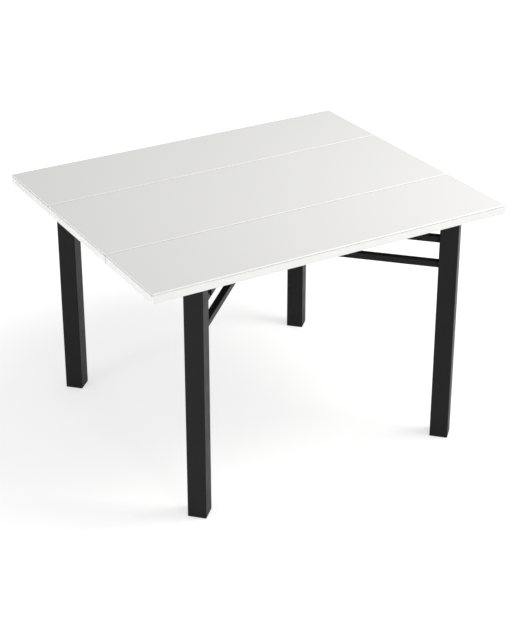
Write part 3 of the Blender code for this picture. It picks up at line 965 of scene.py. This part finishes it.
class GLASSTABLE_OT_slides(bpy.types.Operator):
    """Finish the guides, the runners and their stop pins"""

    bl_idname = "glass_table.slides"
    bl_label = "Guides and runners"

    def execute(self, context):
        dress("aluminium", drawn_aluminium)
        dress("bright_steel", turned_steel)
        return {"FINISHED"}


class GLASSTABLE_OT_dowels(bpy.types.Operator):
    """Finish the dowels in the leaf's edge"""

    bl_idname = "glass_table.dowels"
    bl_label = "Dowels"

    def execute(self, context):
        dress("beech", beech_wood)
        return {"FINISHED"}


class GLASSTABLE_OT_base_screws(bpy.types.Operator):
    """Finish the bolts, and put screws with a cross recess in place of the plain ones"""

    bl_idname = "glass_table.base_screws"
    bl_label = "Bolts and base screws"

    def execute(self, context):
        finish = dress("zinc_steel", zinc_plate)
        plain = sorted(name for name in frame["nodes"] if "_screw_" in name)
        if not plain:
            raise RuntimeError("the packed model has no screws")
        for number, name in enumerate(plain):
            low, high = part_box(name)
            seat = centre(name)
            seat[2] = low.z + sizes().screws.height
            grid = screw_surface(high.z - seat[2], BASE_TURN * number) + seat
            piece = add_surface(name + "_recessed", [grid], "base", finish)
            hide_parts(name)
        return {"FINISHED"}


class GLASSTABLE_OT_rail_screws(bpy.types.Operator):
    """Set the small screws in the flanges of the guides and store rails"""

    bl_idname = "glass_table.rail_screws"
    bl_label = "Guide and store screws"

    def execute(self, context):
        screws = sizes().screws
        panel_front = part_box("rear_panel")[0].y
        for label, side in SIDES.items():
            low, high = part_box("guide_" + label)
            stations = screw_stations(max(low.y, panel_front), high.y, screws.guide_count)
            lines = (low.x + screws.inset, high.x - screws.inset)
            spots = [(x, y, high.z - GUIDE_FLANGE) for x in lines for y in stations]
            self.set_screws("guide_screws_" + label, spots)
            low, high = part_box("store_rail_" + label)
            stations = screw_stations(low.y, high.y, screws.store_count)
            outer = high.x if side > 0 else low.x
            spots = [(outer - side * screws.inset, y, high.z - STORE_FLANGE) for y in stations]
            self.set_screws("store_screws_" + label, spots)
        return {"FINISHED"}

    def set_screws(self, name, spots):
        """One piece of like screws, whose recesses stand at different turns."""
        finish = shared_finish("zinc_steel", zinc_plate)
        grip = sizes().screws.grip
        grids = [screw_surface(grip, RAIL_TURN * k) + np.array(spot) for k, spot in enumerate(spots)]
        add_surface(name, grids, "base", finish)


class GLASSTABLE_OT_welds(bpy.types.Operator):
    """Lay the weld beads of the base"""

    bl_idname = "glass_table.welds"
    bl_label = "Weld beads"

    def execute(self, context):
        finish = shared_finish("powder_coat", powder_coat)
        add_surface("rail_welds", self.rail_rings(), "base", finish, looped=True)
        add_surface("plate_welds", self.plate_rings(), "base", finish, looped=True)
        add_surface("saddle_welds", self.saddle_runs(), "base", finish)
        return {"FINISHED"}

    def rail_rings(self):
        """A bead round each end of the cross rails, on the inner face of its leg."""
        welds = sizes().welds
        rings = []
        for passing, corners in CROSS_LEGS.items():
            for level in RAIL_LEVELS:
                low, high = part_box(f"cross_rail_{passing}_{level}")
                half = (high.z - low.z) / 2
                for corner in corners:
                    outward = away_from_axis(centre("leg_" + corner))
                    face = span("leg_" + corner, outward)[0]
                    middle = outward * (face - welds.bead * welds.off_face) + UP * (low.z + half)
                    rings.append(weld_ring(middle, np.cross(UP, outward), UP, half))
        return rings

    def plate_rings(self):
        """A bead round the top of each back leg, under its plate."""
        welds = sizes().welds
        rings = []
        for label in SIDES:
            middle = centre("leg_back_" + label)
            outward = away_from_axis(middle)
            near, far = span("leg_back_" + label, outward)
            middle[2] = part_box("leg_plate_back_" + label)[0].z - welds.bead * welds.off_face
            rings.append(weld_ring(middle, outward, np.cross(UP, outward), (far - near) / 2))
        return rings

    def saddle_runs(self):
        """A straight bead along the lower edge of each saddle's two cheeks."""
        welds = sizes().welds
        runs = []
        for end in ENDS:
            for label in SIDES:
                name = f"saddle_{end}_{label}"
                along = away_from_axis(centre(name))
                across = np.cross(UP, along)
                near, far = span(name, along)
                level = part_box(name)[0].z + welds.small_bead * welds.above_edge
                for side, cheek in zip((-1, 1), span(name, across)):
                    line = across * (cheek - side * welds.cheek_inset) + UP * level
                    runs.append(weld_run(line + along * near, line + along * far, across * side))
        return runs


class GLASSTABLE_OT_studio(bpy.types.Operator):
    """Set up the camera, the lamps, the white surround and the floor"""

    bl_idname = "glass_table.studio"
    bl_label = "White studio"

    def execute(self, context):
        scene = context.scene
        scene.view_settings.view_transform = "Standard"
        self.place_camera(scene)
        self.hang_lamps(scene)
        self.light_world(scene)
        self.lay_floor(scene)
        return {"FINISHED"}

    def place_camera(self, scene):
        """The camera, level from side to side, with a lens that is shifted and not tilted further."""
        studio = sizes().studio
        lens = bpy.data.cameras.new("camera")
        lens.sensor_width = studio.sensor
        lens.lens = studio.lens
        lens.shift_y = studio.shift
        camera = bpy.data.objects.new("camera", lens)
        camera.location = studio.spot
        camera.rotation_euler = Euler((pi / 2 - studio.pitch, 0.0, -studio.azimuth))
        scene.collection.objects.link(camera)
        scene.camera = camera

    def hang_lamps(self, scene):
        """A key lamp above the top, and two low lamps that light its edges and show in no reflection."""
        studio = sizes().studio
        key = self.hang_lamp(scene, "key_lamp", studio.key_spot, studio.key_side, studio.key)
        key.data.color = studio.key_colour
        front = self.hang_lamp(scene, "front_lamp", studio.front_spot, studio.low_side, studio.front)
        front.visible_glossy = False
        left = self.hang_lamp(scene, "left_lamp", studio.left_spot, studio.low_side, studio.left)
        left.visible_glossy = False

    def hang_lamp(self, scene, name, spot, side, power):
        """A square soft lamp that faces the table's top."""
        lamp = bpy.data.lights.new(name, "AREA")
        lamp.shape = "SQUARE"
        lamp.size = side
        lamp.energy = power
        holder = bpy.data.objects.new(name, lamp)
        holder.location = spot
        target = Vector((0.0, 0.0, CAD_BOX[1][2]))
        holder.rotation_euler = (target - holder.location).to_track_quat("-Z", "Y").to_euler()
        scene.collection.objects.link(holder)
        return holder

    def seen_or_mirrored(self, tree):
        """1 for what the camera sees itself, in a reflection or through glass, and 0 for other light."""
        path = add_node(tree, "LightPath")
        seen = path.outputs["Is Camera Ray"]
        for name in ("Is Glossy Ray", "Is Transmission Ray"):
            seen = joined(tree, "MAXIMUM", seen, path.outputs[name])
        return seen

    def light_world(self, scene):
        """A white surround at strength 1 where it is seen, and a plain level as light."""
        world = bpy.data.worlds.new("white_surround")
        world.use_nodes = True
        tree = world.node_tree
        background = tree.nodes["Background"]
        background.inputs["Color"].default_value = (1.0, 1.0, 1.0, 1.0)
        seen = self.seen_or_mirrored(tree)
        level = spread(tree, seen, low=sizes().studio.surround, high=1.0, start=0.0, end=1.0)
        tree.links.new(level, background.inputs["Strength"])
        scene.world = world

    def lay_floor(self, scene):
        """A round floor under the feet: rings (r cos t, r sin t) on one level, closed by the innermost."""
        studio = sizes().studio
        radius = np.linspace(studio.floor_hub, studio.floor_radius, FLOOR_RINGS)[:, None]
        angle = np.linspace(0, 2 * pi, FLOOR_SIDES, endpoint=False)
        level = np.full((FLOOR_RINGS, FLOOR_SIDES), CAD_BOX[0][2] - studio.floor_drop)
        points = np.stack((radius * np.cos(angle), radius * np.sin(angle), level), axis=-1)
        index = np.arange(FLOOR_RINGS * FLOOR_SIDES).reshape(FLOOR_RINGS, FLOOR_SIDES)
        inner, outer = index[:-1], index[1:]
        quads = np.stack((inner, outer, np.roll(outer, -1, 1), np.roll(inner, -1, 1)), axis=-1)
        mesh = bpy.data.meshes.new("floor")
        mesh.from_pydata(points.reshape(-1, 3), [], quads.reshape(-1, 4).tolist() + [index[0].tolist()])
        mesh.materials.append(self.pale_floor())
        floor = bpy.data.objects.new("floor", mesh)
        scene.collection.objects.link(floor)

    def pale_floor(self):
        """A dull floor that takes the shadow and glows white where it is seen.

        From below it is clear, so that the underside of the table shows.
        """
        studio = sizes().studio
        material, tree, shader, place = start_finish("pale_floor")
        shader.inputs["Base Color"].default_value = (*studio.floor, 1.0)
        shader.inputs["Roughness"].default_value = 0.9
        shader.inputs["Specular IOR Level"].default_value = 0.0
        shader.inputs["Emission Color"].default_value = (1.0, 1.0, 1.0, 1.0)
        away = add_node(tree, "VectorMath", {0: place}, operation="LENGTH").outputs["Value"]
        white = spread(
            tree, away, low=studio.floor_glow, high=1.0, start=studio.shadow_floor, end=studio.clear_floor
        )
        glow = joined(tree, "MULTIPLY", white, self.seen_or_mirrored(tree))
        tree.links.new(glow, shader.inputs["Emission Strength"])
        from_below = add_node(tree, "NewGeometry").outputs["Backfacing"]
        clear = add_node(tree, "BsdfTransparent").outputs["BSDF"]
        sides = add_node(tree, "MixShader", {0: from_below, 1: shader.outputs["BSDF"], 2: clear})
        tree.links.new(sides.outputs["Shader"], tree.nodes["Material Output"].inputs["Surface"])
        return material


class TableSettings(bpy.types.PropertyGroup):
    """Everything that a user of the table would change."""

    finishes: PointerProperty(type=TableFinishes, name="Finishes", description="Colours of the materials")
    screws: PointerProperty(type=ScrewSizes, name="Screws", description="Sizes of the screws")
    welds: PointerProperty(type=WeldSizes, name="Welds", description="Sizes of the weld beads")
    studio: PointerProperty(type=StudioSizes, name="Studio", description="Camera, lamps and floor")


OPERATORS = (
    GLASSTABLE_OT_panes,
    GLASSTABLE_OT_boards,
    GLASSTABLE_OT_steel_base,
    GLASSTABLE_OT_plastics,
    GLASSTABLE_OT_slides,
    GLASSTABLE_OT_dowels,
    GLASSTABLE_OT_base_screws,
    GLASSTABLE_OT_rail_screws,
    GLASSTABLE_OT_welds,
    GLASSTABLE_OT_studio,
)


class GLASSTABLE_PT_sidebar(bpy.types.Panel):
    """The table's steps and settings in the 3D view's sidebar"""

    bl_idname = "GLASSTABLE_PT_sidebar"
    bl_label = "Extending glass table"
    bl_space_type = "VIEW_3D"
    bl_region_type = "UI"
    bl_category = "Glass table"

    def draw(self, context):
        for operator in OPERATORS:
            self.layout.operator(operator.bl_idname)
        settings = context.scene.glass_table
        for group in (settings.finishes, settings.screws, settings.welds, settings.studio):
            box = self.layout.box()
            for name in group.__annotations__:
                box.prop(group, name)


GROUPS = (TableFinishes, ScrewSizes, WeldSizes, StudioSizes, TableSettings)
CLASSES = (*GROUPS, *OPERATORS, GLASSTABLE_PT_sidebar)


def register():
    """Registers the classes and gives each scene its settings."""
    for kind in CLASSES:
        bpy.utils.register_class(kind)
    bpy.types.Scene.glass_table = PointerProperty(type=TableSettings)


def unregister():
    """Takes the settings and the classes away again."""
    del bpy.types.Scene.glass_table
    for kind in reversed(CLASSES):
        bpy.utils.unregister_class(kind)


def main():
    """Runs every step in order."""
    register()
    for operator in OPERATORS:
        group, step = operator.bl_idname.split(".")
        getattr(getattr(bpy.ops, group), step)()


if __name__ == "__main__":
    main()
